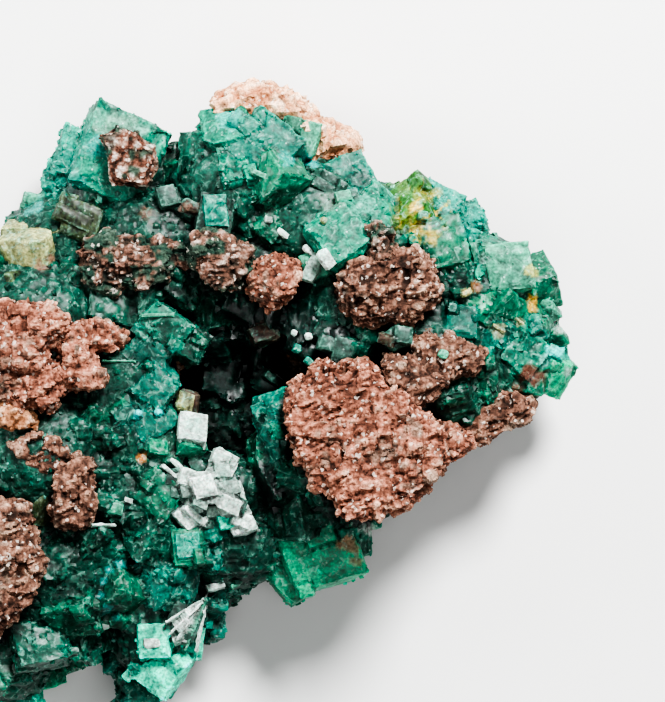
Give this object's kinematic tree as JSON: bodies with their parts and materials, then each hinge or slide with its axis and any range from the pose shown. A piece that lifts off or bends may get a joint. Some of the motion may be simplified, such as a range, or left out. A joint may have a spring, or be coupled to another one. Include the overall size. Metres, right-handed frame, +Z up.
{
  "type": "dioptase specimen",
  "caption": "Intergrown blocky dioptase crystals round a small vug, on a flat-cut slab of host rock with crusts of red ironstone.",
  "frame": {"origin": "on the flat underside of the host rock, under the edge of the vug", "axes": "+Z up from the flat underside to the crystals, +X to the right across the face and along its longest extent, +Y up the face towards the bare crest of host rock"},
  "size_m": [0.0741, 0.0658, 0.0222],
  "materials": {
    "dioptase_green": "satin",
    "host_rock": "matte",
    "red_ironstone": "matte",
    "tan_ironstone": "matte"
  },
  "bodies": {
    "root": {"dioptase": "dioptase_green", "host_rock": "host_rock", "peak_crust": "red_ironstone", "red_block_far_left": "red_ironstone", "red_block_middle": "red_ironstone", "red_block_upper": "red_ironstone", "red_blocks_lower_left": "red_ironstone", "red_knob_right": "red_ironstone", "red_ledge_centre": "red_ironstone", "red_ledge_right": "red_ironstone", "red_mass_left": "red_ironstone", "red_mass_lower_left": "red_ironstone", "red_slab": "red_ironstone", "red_vein": "red_ironstone", "speckled_crust": "red_ironstone", "tan_block": "tan_ironstone"}
  },
  "joints": []
}
